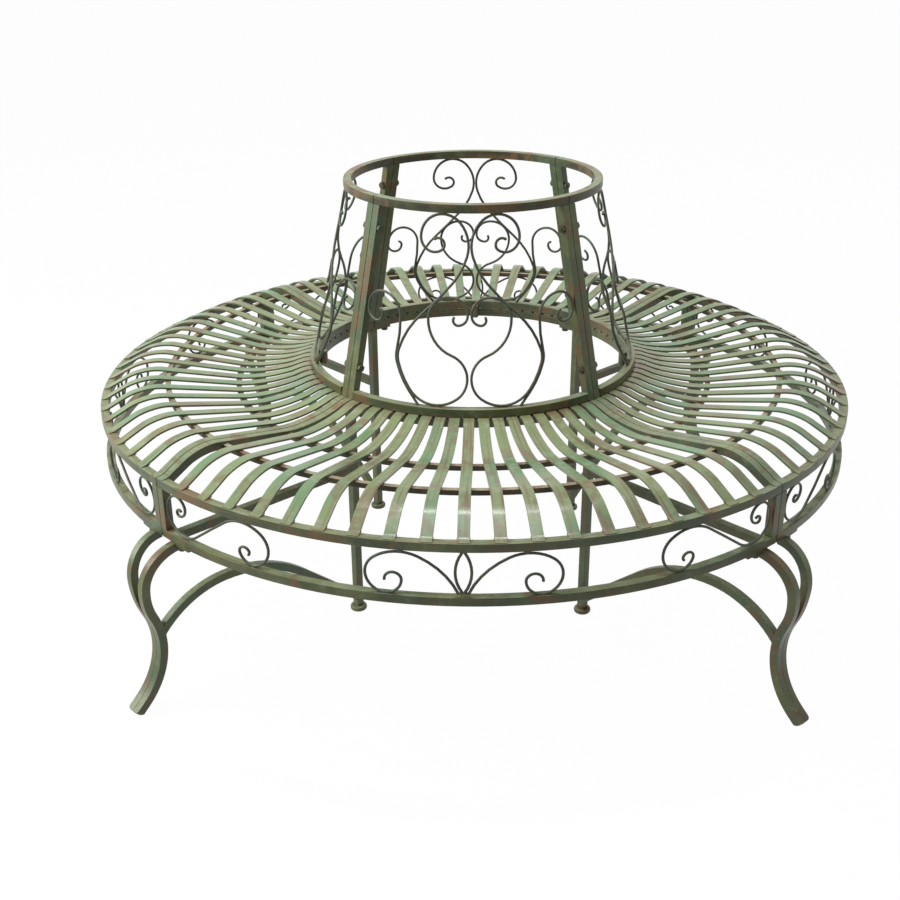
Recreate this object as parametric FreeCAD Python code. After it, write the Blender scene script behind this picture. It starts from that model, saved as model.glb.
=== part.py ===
"""Round tree bench: four bolted quarter sections of seat and back, carried by four leg frames.

Millimetres, +Z up. The origin is on the ground at the centre of the tree hole. The front section
faces -Y. An azimuth is counted in degrees from -Y, growing towards +X.
"""
import FreeCAD
import Part
import math
import os

# Bar stock
bar = 16.0
slat_width = 20.0
slat_thickness = 4.0
rail_bar = 10.0
rod = 5.0
leg_bar_width = 12.0
leg_bar_depth = 16.0
plate_thickness = 6.0

# Rings
rim_radius = 750.0
rim_top = 440.0
apron_opening = 80.0
seat_ring_radius = 333.0
seat_ring_top = 468.0
crown_radius = 252.0
overall_height = 845.0

# The wave of the seat, read along the underside of a slat
dip_reach = 85.0
dip_depth = 29.9
roll_inset = 83.0
roll_rise = 37.4
ring_shelf = 12.2
rim_shelf = 3.1
wave_bends = (56.0, 240.0, 106.0, 29.0)
wave_step = 20.0

# Sections
sections = 4
slats_per_section = 19
seam = 1.0
slat_setback = 3.0
slat_side_gap = 0.3
inner_rail_reach = 147.0
outer_rail_inset = 132.0

# Scroll rods: chains of arcs, each (radius, turn in degrees), with a start (across, up, heading)
scroll_clearance = 0.1
scroll_step = 46.0
scroll_sag = 2.1
lyre_start = (26.7, 163.0, 308.0)
lyre_arcs = (
    (9.0, -128.0), (17.3, -83.5), (30.0, -82.0), (40.2, -104.0), (67.0, -70.0), (44.5, 123.0),
    (68.0, 48.7), (61.5, 41.0), (141.0, 21.0), (37.0, 36.0), (168.0, 29.0), (542.0, -8.3),
    (131.5, -23.3), (61.8, -58.5), (41.2, -138.0), (25.2, -124.6), (11.2, -189.0),
)
side_curl_foot = 97.0
side_curl_branch_height = 83.0
side_curl_arcs = (
    (35.8, 20.0), (60.0, 10.0), (250.0, -14.2), (38.0, -90.0), (34.5, -90.0), (20.0, -90.0),
    (14.0, -90.0), (8.0, -80.0),
)
leaf_base = 7.5
leaf_bend = 62.0
leaf_turn = 69.0
apron_curl_start = (8.2, 0.0, 68.0)
apron_curl_arcs = ((133.0, -41.0), (65.9, -65.6), (38.4, -107.6), (26.9, -123.5), (13.7, -188.0))
corner_scroll_start = (362.0, 29.5, 63.0)
corner_scroll_arcs = (
    (12.2, -164.5), (29.7, -99.0), (38.9, -121.4), (60.3, -74.8), (4100.0, -1.3), (48.5, 72.0),
    (40.5, 109.0), (22.3, 104.8), (18.4, 105.0), (6.6, 240.0),
)
corner_scroll_width = 237.0

# Leg frames
leg_start_inset = 13.0
leg_drawn_height = 320.0
leg_arcs = ((78.0, -90.0), (150.0, -24.6), (145.0, 72.6))
leg_toe_length = 22.0
leg_toe_reach = 100.0
leg_spread = 25.0
leg_join_length = 178.0
leg_step = 18.0
arch_drawn_span = 417.0
arch_centre_reach = 301.0
arch_centre_depth = 58.0
arch_bend = 270.0
arch_outer_angle = 48.0
arch_inner_angle = 138.1
arch_width = 12.0
arch_depth = 16.0
arch_step = 15.0
pad_diameter = 34.0
pad_thickness = 10.0
apron_plate_reach = 74.0
apron_bolt_reach = 63.0
seat_plate_reach = 46.0
seat_bolt_reach = 34.0
plate_inset = 1.5

# Fasteners
hexagon_flats = 13.0
bolt_head_height = 6.0
nut_height = 8.0
post_bolt_reach = 42.0
lug_diameter = 16.0

apron_ring_top = rim_top - bar - apron_opening
apron_ring_bottom = apron_ring_top - bar
foot_ring_bottom = seat_ring_top + slat_thickness
foot_ring_top = foot_ring_bottom + bar
crown_bottom = overall_height - bar
inner_rail_radius = seat_ring_radius + inner_rail_reach
outer_rail_radius = rim_radius - outer_rail_inset
leg_toe_radius = rim_radius + leg_toe_reach
section_turn = 360.0 / sections
half_turn = section_turn / 2
section_names = ("front", "right", "back", "left")
seam_names = ("front_right", "back_right", "back_left", "front_left")
end_reach = seam / 2 + bar
rod_corner = rod / 2 / math.cos(math.radians(scroll_step / 2))
solids_made = {}


def vec(x, y, z):
    return FreeCAD.Vector(x, y, z)


def place(radius, azimuth, height):
    """The point at a radius, an azimuth and a height."""
    turn = math.radians(azimuth)
    return vec(radius * math.sin(turn), -radius * math.cos(turn), height)


def turned(shape, azimuth):
    """A copy of a shape modelled at azimuth 0, turned about the tree."""
    copy = shape.copy()
    copy.rotate(vec(0, 0, 0), vec(0, 0, 1), azimuth)
    return copy


def turned_all(shapes, azimuth):
    return [turned(shape, azimuth) for shape in shapes]


def mirrored(shape):
    """The same shape on the other side of the middle plane of its section or seam."""
    return shape.mirror(vec(0, 0, 0), vec(1, 0, 0))


def save(name, solids):
    """Write one sub-part. Pieces that belong together share its file."""
    for solid in solids:
        if not solid.isValid() or solid.Volume <= 0:
            print("faulty solid in", name)
    solids_made[name] = solids
    Part.makeCompound(solids).exportStep("parts/" + name + ".step")


def plate_from(points, direction):
    """A prism on a closed outline."""
    return Part.Face(Part.makePolygon(points + [points[0]])).extrude(direction)


def flat_faces(a, b, c, d):
    """The side of a bar between two corners of one row and the same two of the next."""
    if abs((b - a).cross(d - a).dot(c - a)) < 1e-6:
        return [Part.Face(Part.makePolygon([a, b, c, d, a]))]
    return [Part.Face(Part.makePolygon([a, b, c, a])), Part.Face(Part.makePolygon([a, c, d, a]))]


def bar_through(corner_rows):
    """A bar through rows of four corners, flat-sided between one row and the next."""
    faces = flat_faces(*corner_rows[0]) + flat_faces(*corner_rows[-1])
    for row, following in zip(corner_rows, corner_rows[1:]):
        for i in range(4):
            j = (i + 1) % 4
            faces += flat_faces(row[i], row[j], following[j], following[i])
    solid = Part.Solid(Part.makeShell(faces))
    return solid if solid.Volume > 0 else solid.reversed()


# Curves bent round the tree

def azimuth_at(radius, distance):
    """Where a line parallel to the right-hand seam, at a distance from it, meets a radius."""
    return half_turn - math.degrees(math.asin(distance / radius))


def stations(radius, margin, steps, flat_ends):
    """Azimuths along a quarter ring that stops at a margin from both seams."""
    end = azimuth_at(radius, margin)
    inner_end = azimuth_at(radius, end_reach) if flat_ends else end
    row = [inner_end * (2.0 * i / steps - 1) for i in range(steps + 1)]
    return [-end] + row + [end] if flat_ends else row


def ring_bar(outer, size, bottom, margin, steps, flat_ends=False):
    """A quarter ring of square bar. With flat ends it is straight where end bars and posts meet it."""
    far_side = [place(outer, a, bottom) for a in stations(outer, margin, steps, flat_ends)]
    near_side = [place(outer - size, a, bottom) for a in stations(outer - size, margin, steps, flat_ends)]
    return plate_from(far_side + near_side[::-1], vec(0, 0, size))


def arc_plate(inner, outer, first, last, bottom, height):
    """A small plate that follows a ring between two distances from the front of its seam."""
    middle = (inner + outer) / 2
    ends = [math.degrees(first / middle), math.degrees(last / middle)]
    points = [place(outer, a, bottom) for a in ends] + [place(inner, a, bottom) for a in ends[::-1]]
    return plate_from(points, vec(0, 0, height))


# Lines in the radial plane, as (radius, height) points

def bent_line(corners, bends, step):
    """A line with its corners bent to radii, each bend a few flats that lie outside the true arc."""
    points = [corners[0]]
    for before, corner, after, bend in zip(corners, corners[1:], corners[2:], bends):
        first = math.atan2(corner[1] - before[1], corner[0] - before[0])
        turn = math.atan2(after[1] - corner[1], after[0] - corner[0]) - first
        flats = max(1, int(round(abs(math.degrees(turn)) / step)))
        reach = bend * math.tan(abs(turn) / 2)
        half_flat = bend * math.tan(abs(turn) / 2 / flats)
        x = corner[0] - (reach - half_flat) * math.cos(first)
        z = corner[1] - (reach - half_flat) * math.sin(first)
        points.append((x, z))
        for i in range(1, flats):
            heading = first + turn * i / flats
            x += 2 * half_flat * math.cos(heading)
            z += 2 * half_flat * math.sin(heading)
            points.append((x, z))
    return points + [corners[-1]]


def offset_line(points, distance):
    """The same line moved to the left of its direction, with mitred corners."""
    headings = [math.atan2(b[1] - a[1], b[0] - a[0]) for a, b in zip(points, points[1:])]
    moved = []
    for i, (r, z) in enumerate(points):
        before = headings[max(i - 1, 0)]
        after = headings[min(i, len(headings) - 1)]
        side = distance / math.cos((after - before) / 2)
        middle = (before + after) / 2
        moved.append((r - side * math.sin(middle), z + side * math.cos(middle)))
    return moved


def height_at(points, radius):
    for (r0, z0), (r1, z1) in zip(points, points[1:]):
        if r0 <= radius <= r1:
            return z0 + (z1 - z0) * (radius - r0) / (r1 - r0)
    return points[-1][1]


def cut_line(points, start, stop):
    """The stretch of a line between two radii."""
    inside = [p for p in points if start < p[0] < stop]
    return [(start, height_at(points, start))] + inside + [(stop, height_at(points, stop))]


def standing_plate(lower, upper, left, right):
    """A bar in the radial plane between a lower and an upper line, from x = left to x = right."""
    outline = [vec(left, -r, z) for r, z in lower + upper[::-1]]
    return plate_from(outline, vec(right - left, 0, 0))


def wave():
    """The underside of a slat, from the tree hole out to the rim."""
    corners = [
        (seat_ring_radius - bar, seat_ring_top),
        (seat_ring_radius + ring_shelf, seat_ring_top),
        (seat_ring_radius + dip_reach, seat_ring_top - dip_depth),
        (rim_radius - roll_inset, rim_top + roll_rise),
        (rim_radius - bar + rim_shelf, rim_top),
        (rim_radius - slat_setback, rim_top),
    ]
    return bent_line(corners, wave_bends, wave_step)


# The seat

def make_slats():
    """The slats of one section. The last one on each side just clears the end bar and the post."""
    slat = standing_plate(wave(), offset_line(wave(), slat_thickness), -slat_width / 2, slat_width / 2)
    last = azimuth_at(seat_ring_radius - bar, end_reach + slat_width / 2 + slat_side_gap)
    middle = (slats_per_section - 1) / 2
    return [turned(slat, last * (i - middle) / middle) for i in range(slats_per_section)]


def make_end_bars():
    """The pair of wavy bars at a seam, between the seat ring and the rim, level with the slats."""
    upper = offset_line(wave(), slat_thickness)
    lower = offset_line(wave(), slat_thickness - bar)
    rim_face = math.sqrt((rim_radius - bar) ** 2 - end_reach ** 2)
    upper = cut_line(upper, seat_ring_radius, rim_face)
    lower = cut_line(lower, seat_ring_radius, rim_face)
    right = standing_plate(lower, upper, seam / 2, end_reach)
    return [right, mirrored(right)]


def make_rail(radius, steps):
    """A rail under the slats of one section, between its end bars."""
    flat = math.cos(math.radians(half_turn / steps))
    inner = (radius - rail_bar / 2) * flat
    outer = radius + rail_bar / 2
    top = min(height_at(wave(), inner), height_at(wave(), outer))
    top = min([top] + [z for r, z in wave() if inner < r < outer])
    return ring_bar(outer, rail_bar, top - rail_bar, end_reach, steps)


def make_apron_posts():
    """The pair of short posts at a seam, between the apron ring and the rim."""
    post = Part.makeBox(bar, bar, apron_opening, vec(seam / 2, -rim_radius, apron_ring_top))
    return [post, mirrored(post)]


# The back

def back_radius(height):
    """The outer radius of the leaning back at a height."""
    rise = (height - seat_ring_top) / (crown_bottom - seat_ring_top)
    return seat_ring_radius + (crown_radius - seat_ring_radius) * rise


def make_back_posts():
    """The pair of leaning posts at a seam, from the seat ring up to the crown ring."""
    outer = [(seat_ring_radius, seat_ring_top), (crown_radius, crown_bottom)]
    inner = [(r - bar, z) for r, z in outer]
    post = standing_plate(inner, outer, seam / 2, end_reach)
    return [post, mirrored(post)]


# Scrolls, drawn flat as (across, up, heading) points and then laid on the back or on the apron

def scroll_line(start, arcs):
    x, y, heading = start
    angle = math.radians(heading)
    line = [(x, y, angle)]
    for radius, turn in arcs:
        finest = 2 * math.degrees(math.acos(1 - min(1.0, scroll_sag / radius)))
        pieces = int(math.ceil(abs(turn) / min(scroll_step, finest)))
        part = math.radians(turn) / pieces
        chord = 2 * radius * math.sin(abs(part) / 2)
        for _ in range(pieces):
            x += chord * math.cos(angle + part / 2)
            y += chord * math.sin(angle + part / 2)
            angle += part
            line.append((x, y, angle))
    return line


def fitted(values, low, high):
    """The scale and the shift that bring a list of values between two limits."""
    scale = (high - low) / (max(values) - min(values))
    return scale, low - min(values) * scale


def reshaped(line, x_scale, x_shift, y_scale, y_shift):
    """A flat line stretched and moved. Its headings follow, without jumps of a full turn."""
    out = []
    for x, y, angle in line:
        heading = math.atan2(math.sin(angle) * y_scale, math.cos(angle) * x_scale)
        heading += 2 * math.pi * round((angle - heading) / (2 * math.pi))
        out.append((x * x_scale + x_shift, y * y_scale + y_shift, heading))
    return out


def grounded(line, level):
    """The line with its start moved along its first heading until the rod's end stands on a level."""
    x, y, angle = line[0]
    foot = level + rod / 2 * abs(math.cos(angle)) + scroll_clearance
    step = (foot - y) / math.sin(angle)
    return [(x + step * math.cos(angle), foot, angle)] + line[1:]


def beside(line, distance):
    """The line moved to the right of its direction."""
    out = []
    for i, (x, y, angle) in enumerate(line):
        bend = abs(line[min(i + 1, len(line) - 1)][2] - line[max(i - 1, 0)][2]) / 2
        side = distance / math.cos(bend / 2)
        out.append((x + side * math.sin(angle), y - side * math.cos(angle), angle))
    return out


def on_back(x, y):
    """A point of the leaning back, with its directions across and up. y counts from the foot ring."""
    height = foot_ring_top + y
    radius = back_radius(height) - bar / 2
    azimuth = math.degrees(x / radius)
    lean = (crown_radius - seat_ring_radius) / (crown_bottom - seat_ring_top)
    up = place(lean, azimuth, 1)
    up.normalize()
    return place(radius, azimuth, height), place(1, azimuth + 90, 0), up


def on_apron(x, y):
    """A point of the apron, with its directions across and up. y counts from the apron ring."""
    radius = rim_radius - bar / 2
    azimuth = math.degrees(x / radius)
    return place(radius, azimuth, apron_ring_top + y), place(1, azimuth + 90, 0), vec(0, 0, 1)


def rod_on(surface, line):
    """A square rod bent along a flat line and laid on a surface."""
    rows = []
    for i, (x, y, angle) in enumerate(line):
        point, across, up = surface(x, y)
        outward = across.cross(up)
        outward.normalize()
        bend = 0
        if 0 < i < len(line) - 1:
            bend = abs(line[i + 1][2] - line[i - 1][2]) / 2
        side = (up * math.cos(angle) - across * math.sin(angle)) * (rod / 2 / math.cos(bend / 2))
        edge = outward * (rod / 2)
        rows.append([point + edge + side, point - edge + side, point - edge - side, point + edge - side])
    return bar_through(rows)


def room_on_back(y):
    """How far from the panel's middle a rod's own middle may lie before the rod meets the post."""
    radius = back_radius(foot_ring_top + y) - bar / 2
    return radius * math.radians(azimuth_at(radius, end_reach)) - rod_corner - scroll_clearance


def make_back_scrolls():
    """Two lyre rods, back to back, and a side curl outside each, between foot ring and crown ring."""
    limit = crown_bottom - foot_ring_top - rod_corner - scroll_clearance
    lyre = scroll_line(lyre_start, lyre_arcs)
    y_scale, y_shift = fitted([p[1] for p in lyre], rod_corner + scroll_clearance, limit)
    x_shift = rod_corner + scroll_clearance / 2 - min(p[0] for p in lyre)
    lyre = reshaped(lyre, 1.0, x_shift, y_scale, y_shift)
    outermost = max(range(len(lyre)), key=lambda i: lyre[i][0])
    beginning = max(i for i in range(outermost) if lyre[i][0] < side_curl_foot)
    shared = [p for p in lyre[beginning + 1:outermost + 2] if p[1] <= side_curl_branch_height]
    foot = grounded(beside(shared, rod + scroll_clearance), 0)
    x, y, angle = foot[-1]
    curl = scroll_line((x, y, math.degrees(angle)), side_curl_arcs)
    x_scale = min((room_on_back(p[1]) - x) / (p[0] - x) for p in curl if p[0] > x + rod)
    curl = reshaped(curl, x_scale, x * (1 - x_scale), 1.0, 0.0)
    rods = [rod_on(on_back, lyre), rod_on(on_back, foot[:-1] + curl)]
    return rods + [mirrored(r) for r in rods]


def make_apron_centre():
    """Two bowed rods that make a pointed leaf, and a curl on each side of it."""
    low = rod_corner + scroll_clearance
    high = apron_opening - low
    curl = scroll_line(apron_curl_start, apron_curl_arcs)
    y_scale, y_shift = fitted([p[1] for p in curl[2:]], low, high)
    curl = grounded(reshaped(curl, 1.0, 0.0, y_scale, y_shift), 0)
    bow = scroll_line((0.0, 0.0, 90.0 - leaf_turn / 2), ((leaf_bend, leaf_turn),))
    tip = rod / 2 * math.sin(math.radians(leaf_turn / 2)) + scroll_clearance
    y_scale, y_shift = fitted([p[1] for p in bow], leaf_base, apron_opening - tip)
    x_shift = rod / 2 * math.cos(math.radians(leaf_turn / 2)) + scroll_clearance / 2
    bow = reshaped(bow, 1.0, x_shift, y_scale, y_shift)
    rods = [rod_on(on_apron, bow), rod_on(on_apron, curl)]
    return rods + [mirrored(r) for r in rods]


def make_corner_scrolls():
    """The two S scrolls beside a seam, each against its post. Drawn from the section's middle."""
    low = rod_corner + scroll_clearance
    line = scroll_line(corner_scroll_start, corner_scroll_arcs)
    radius = rim_radius - bar / 2
    room = radius * math.radians(azimuth_at(radius, end_reach)) - low
    x_scale, x_shift = fitted([p[0] for p in line], room - corner_scroll_width, room)
    y_scale, y_shift = fitted([p[1] for p in line], low, apron_opening - low)
    scroll = turned(rod_on(on_apron, reshaped(line, x_scale, x_shift, y_scale, y_shift)), -half_turn)
    return [scroll, mirrored(scroll)]


# Leg frames, modelled at azimuth 0 and turned to a seam

def leg_line():
    """The middle line of an outer leg bar in the radial plane: (radius, height, heading, length so far)."""
    x, z = rim_radius - leg_start_inset, leg_drawn_height
    angle = 0.0
    run = 0.0
    line = [(x, z, angle, run)]
    for radius, turn in leg_arcs:
        pieces = int(math.ceil(abs(turn) / leg_step))
        part = math.radians(turn) / pieces
        chord = 2 * radius * math.sin(abs(part) / 2)
        for _ in range(pieces):
            x += chord * math.cos(angle + part / 2)
            z += chord * math.sin(angle + part / 2)
            angle += part
            run += chord
            line.append((x, z, angle, run))
    x += leg_toe_length * math.cos(angle)
    z += leg_toe_length * math.sin(angle)
    line.append((x, z, angle, run + leg_toe_length))
    stretch = (apron_ring_bottom - leg_bar_depth / 2) / leg_drawn_height
    return [(x, z * stretch, math.atan2(math.sin(a) * stretch, math.cos(a)), run) for x, z, a, run in line]


def make_outer_leg():
    """Two bars, apart under the apron ring, that come together and end in a turned-out toe."""
    rows = []
    for r, z, angle, run in leg_line():
        share = min(1.0, run / leg_join_length)
        ease = share * share * (3 - 2 * share)
        middle = leg_spread + (leg_bar_width / 2 + scroll_clearance / 2 - leg_spread) * ease
        rise = leg_bar_depth / 2 * math.cos(angle)
        reach = leg_bar_depth / 2 * math.sin(angle)
        near, away = middle - leg_bar_width / 2, middle + leg_bar_width / 2
        rows.append([
            vec(near, -(r - reach), z + rise),
            vec(away, -(r - reach), z + rise),
            vec(away, -(r + reach), z - rise),
            vec(near, -(r + reach), z - rise),
        ])
    leg = bar_through(rows)
    side = leg_spread + leg_bar_width
    room = Part.makeBox(side * 2, leg_toe_radius, rim_top, vec(-side, -leg_toe_radius, 0))
    leg = leg.common(room).Solids[0]
    return [leg, mirrored(leg)]


def leg_side():
    """The outline of the outer leg in the radial plane, as a wide block that the arch brace stops at."""
    line = [(r, z, a) for r, z, a, run in leg_line() if run >= leg_join_length]
    half = leg_bar_depth / 2
    inner = [vec(-leg_bar_width * 2, -(r + half * math.sin(a)), z - half * math.cos(a)) for r, z, a in line]
    outer = [vec(-leg_bar_width * 2, -(r + leg_toe_reach), z) for r, z, a in line]
    return plate_from(inner + outer[::-1], vec(leg_bar_width * 4, 0, 0))


def make_arch_brace():
    """The arch between the outer and the inner leg, straight over its last stretch.

    It is drawn from the face of the inner leg and stretched to the room between the two legs.
    """
    turn = arch_inner_angle - arch_outer_angle
    pieces = int(round(turn / arch_step))
    line = []
    for i in range(pieces + 1):
        angle = math.radians(arch_outer_angle + turn * i / pieces)
        line.append((
            arch_centre_reach + arch_bend * math.cos(angle),
            arch_bend * math.sin(angle) - arch_centre_depth,
        ))
    angle = math.radians(arch_inner_angle + 90)
    r, z = line[-1]
    line.append((0.0, z - r * math.tan(angle)))
    stretch = (rim_radius - seat_ring_radius) / arch_drawn_span
    line = [(seat_ring_radius - bar + r * stretch, z) for r, z in line]
    upper = offset_line(line, -arch_depth / 2)
    lower = offset_line(line, arch_depth / 2)
    arch = standing_plate(lower, upper, -arch_width / 2, arch_width / 2)
    inner_side = Part.makeBox(bar * 4, seat_ring_radius, overall_height, vec(-bar * 2, -seat_ring_radius, 0))
    return max(arch.cut(leg_side()).cut(inner_side).Solids, key=lambda s: s.Volume)


def make_radial_bar():
    """The level bar from under the apron ring to the inner leg."""
    length = rim_radius - seat_ring_radius
    return Part.makeBox(bar, length, bar, vec(-bar / 2, -rim_radius, apron_ring_bottom - bar))


def make_inner_leg():
    height = seat_ring_top - bar - pad_thickness
    return Part.makeBox(bar, bar, height, vec(-bar / 2, -seat_ring_radius, pad_thickness))


def round_block(diameter, centre, height, sides):
    """A round block with a few flat sides, across flats as wide as its diameter."""
    radius = diameter / 2 / math.cos(math.pi / sides)
    turns = [2 * math.pi * (i + 0.5) / sides for i in range(sides)]
    return plate_from([centre + vec(math.cos(t), math.sin(t), 0) * radius for t in turns], vec(0, 0, height))


def make_pad():
    return round_block(pad_diameter, vec(0, bar / 2 - seat_ring_radius, 0), pad_thickness, 16)


def make_plates():
    """The plates under the apron ring and the seat ring, on both sides of a leg frame."""
    from_leg = leg_spread + leg_bar_width / 2 + scroll_clearance
    outer = rim_radius - plate_inset
    inner = rim_radius - bar + plate_inset
    low = apron_ring_bottom - plate_thickness
    apron_plate = arc_plate(inner, outer, from_leg, apron_plate_reach, low, plate_thickness)
    outer = seat_ring_radius - plate_inset
    inner = seat_ring_radius - bar + plate_inset
    low = seat_ring_top - bar - plate_thickness
    from_leg = bar / 2 + scroll_clearance
    seat_plate = arc_plate(inner, outer, from_leg, seat_plate_reach, low, plate_thickness)
    return [apron_plate, mirrored(apron_plate), seat_plate, mirrored(seat_plate)]


def hexagon(centre, axis, across, height):
    """A bolt head or a nut, standing on its centre point along an axis."""
    side = vec(0, 0, 1) if abs(axis.z) < 0.5 else vec(0, 1, 0)
    other = axis.cross(side)
    radius = hexagon_flats / math.sqrt(3)
    points = []
    for i in range(6):
        angle = math.radians(60 * i + across)
        points.append(centre + side * (radius * math.cos(angle)) + other * (radius * math.sin(angle)))
    return plate_from(points, axis * height)


def make_frame_bolts():
    """Heads of the bolts that hold the plates to the rings."""
    heads = []
    apron = (rim_radius - bar / 2, apron_bolt_reach, apron_ring_bottom - plate_thickness)
    seat = (seat_ring_radius - bar / 2, seat_bolt_reach, seat_ring_top - bar - plate_thickness)
    for radius, reach, height in (apron, seat):
        for side in (-1, 1):
            centre = place(radius, side * math.degrees(reach / radius), height)
            heads.append(hexagon(centre, vec(0, 0, -1), 0, bolt_head_height))
    return heads


def make_post_bolts():
    """Heads and nuts of the bolts that hold the paired back posts together."""
    pieces = []
    for height in (foot_ring_top + post_bolt_reach, crown_bottom - post_bolt_reach):
        y = bar / 2 - back_radius(height)
        pieces.append(hexagon(vec(end_reach, y, height), vec(1, 0, 0), 0, bolt_head_height))
        pieces.append(hexagon(vec(-end_reach, y, height), vec(-1, 0, 0), 0, nut_height))
    return pieces


def make_lug():
    """The round lug against the tree side of the stacked rings, at a section's middle."""
    radius = lug_diameter / 2
    centre = vec(0, radius + bar - seat_ring_radius, seat_ring_top - bar)
    return round_block(lug_diameter, centre, foot_ring_top - seat_ring_top + bar, 12)


os.makedirs("parts", exist_ok=True)

foot_ring_margin = end_reach
section_parts = {
    "seat_rim": [ring_bar(rim_radius, bar, rim_top - bar, seam / 2, 12, True)],
    "apron_ring": [ring_bar(rim_radius, bar, apron_ring_bottom, seam / 2, 12, True)],
    "seat_ring": [ring_bar(seat_ring_radius, bar, seat_ring_top - bar, seam / 2, 8, True)],
    "back_foot_ring": [ring_bar(seat_ring_radius, bar, foot_ring_bottom, foot_ring_margin, 8)],
    "crown_ring": [ring_bar(crown_radius, bar, crown_bottom, seam / 2, 8)],
    "seat_rails": [make_rail(inner_rail_radius, 8), make_rail(outer_rail_radius, 8)],
    "slats": make_slats(),
    "back_scrolls": make_back_scrolls(),
    "apron_centre_scrolls": make_apron_centre(),
}
seam_parts = {
    "seat_end_bars": make_end_bars(),
    "back_posts": make_back_posts(),
    "apron_corner_scrolls": make_corner_scrolls(),
    "outer_leg": make_outer_leg(),
}
frame_parts = {
    "apron_posts": make_apron_posts(),
    "arch_braces": [make_arch_brace()],
    "radial_bars": [make_radial_bar()],
    "inner_legs": [make_inner_leg()],
    "inner_feet": [make_pad()],
    "frame_plates": make_plates(),
    "bolts": make_frame_bolts() + make_post_bolts(),
}

for index, place_name in enumerate(section_names):
    for name, solids in section_parts.items():
        save(name + "_" + place_name, turned_all(solids, index * section_turn))

for index, place_name in enumerate(seam_names):
    for name, solids in seam_parts.items():
        save(name + "_" + place_name, turned_all(solids, half_turn + index * section_turn))

for name, solids in frame_parts.items():
    around = []
    for index in range(sections):
        around += turned_all(solids, half_turn + index * section_turn)
    save(name, around)

save("ring_lugs", [turned(make_lug(), index * section_turn) for index in range(sections)])
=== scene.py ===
"""Round tree bench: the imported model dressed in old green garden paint. Metres, in the model's frame."""
import bmesh
import bpy
import math
import random
from mathutils import Matrix, Vector


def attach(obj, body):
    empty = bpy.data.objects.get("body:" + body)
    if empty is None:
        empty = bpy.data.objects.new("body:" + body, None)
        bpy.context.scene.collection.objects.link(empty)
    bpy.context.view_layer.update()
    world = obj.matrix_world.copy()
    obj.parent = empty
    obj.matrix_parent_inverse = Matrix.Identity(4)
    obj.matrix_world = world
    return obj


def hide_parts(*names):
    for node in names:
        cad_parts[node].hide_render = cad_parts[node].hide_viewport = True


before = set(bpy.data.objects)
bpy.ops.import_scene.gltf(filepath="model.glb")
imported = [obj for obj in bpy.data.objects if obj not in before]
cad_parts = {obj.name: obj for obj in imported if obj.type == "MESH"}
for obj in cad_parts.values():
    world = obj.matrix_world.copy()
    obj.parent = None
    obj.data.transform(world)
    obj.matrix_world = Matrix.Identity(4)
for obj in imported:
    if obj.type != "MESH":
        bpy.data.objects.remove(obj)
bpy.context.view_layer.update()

mm = 0.001
same_spot = 0.01 * mm
smooth_under = 40
rod_smooth_under = 50

# Bar stock
bar = 16 * mm
slat_width = 20 * mm
slat_thickness = 4 * mm
rail_bar = 10 * mm
rod = 5 * mm
leg_bar_width = 15 * mm
arch_bar_width = 15 * mm
leg_bar_depth = 16 * mm
plate_thickness = 6 * mm
bar_corner = 1.6 * mm
bolt_corner = 0.9 * mm
plate_corner = 1.2 * mm
thread_corner = 0.6 * mm
slat_corner = 0.9 * mm
post_corner = 0.9 * mm

# Rings
rim_radius = 750 * mm
rim_top = 440 * mm
apron_ring_top = 344 * mm
apron_ring_bottom = 328 * mm
apron_opening = 80 * mm
seat_ring_radius = 333 * mm
seat_ring_top = 468 * mm
foot_ring_bottom = 472 * mm
foot_ring_top = 488 * mm
crown_radius = 252 * mm
crown_bottom = 829 * mm
outer_ring_steps = 40
inner_ring_steps = 26
inner_rail_steps = 30
outer_rail_steps = 36
inner_rail_radius = 480 * mm
outer_rail_radius = 618 * mm
inner_rail_bottom = 437.1 * mm
outer_rail_bottom = 458.9 * mm

# Sections
quarters = 4
section_names = ("front", "right", "back", "left")
seam_names = ("front_right", "back_right", "back_left", "front_left")
section_turn = 90
half_turn = 45
slats_per_section = 19
slat_end_gap = 0.3 * mm
seam = 1 * mm
end_reach = seam / 2 + bar
wave_corners = ((317, 468), (345.2, 468), (418, 438.1), (667, 477.4), (737.1, 440), (747, 440))
wave_bends = (56, 240, 106, 29)
wave_flats = 7
end_bar_tail = [(736.0, 442.6), (749.2, 441.0)]
end_bar_tail_bend = 16
slat_tail = [(739.0, 438.6), (748.0, 437.4)]

# Welds
slat_welds = ((734.5 * mm, 441.2 * mm), (337 * mm, 470 * mm))
slat_weld_size = (0.9 * mm, 3 * mm, 1.0 * mm)
rod_weld_size = (5.5 * mm, 3.2 * mm, 2.4 * mm)
weld_swell = (0.86, 1.1)
weld_sides = 8
weld_rings = 6

# Scroll rods, each a start (across, up, heading) and runs of (radius, turn), or (length, 0)
rod_sides = 10
rod_step = 9
rod_end_inset = 0.8 * mm
rod_end_dome = 0.7 * mm
rod_set_out = 3.5 * mm
lyre_start = (26.7, 163.0, 308.0)
lyre_runs = (
    (9.0, -128.0), (17.3, -83.5), (30.0, -82.0), (40.2, -104.0), (67.0, -70.0), (44.5, 123.0),
    (68.0, 48.7), (61.5, 41.0), (141.0, 21.0), (37.0, 36.0), (168.0, 29.0), (542.0, -8.3),
    (131.5, -23.3), (61.8, -58.5), (41.2, -138.0), (25.2, -124.6), (11.2, -189.0),
)
side_curl_start = (99.0, 0.0, 53.2)
side_curl_runs = (
    (30.0, 0.0), (146.1, 21.0), (42.1, 30.0), (250.0, -14.2), (38.0, -90.0), (34.0, -90.0),
    (20.0, -90.0), (14.0, -90.0), (8.0, -80.0),
)
side_curl_stretch = 1.03
side_curl_room = 205.2 * mm
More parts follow.
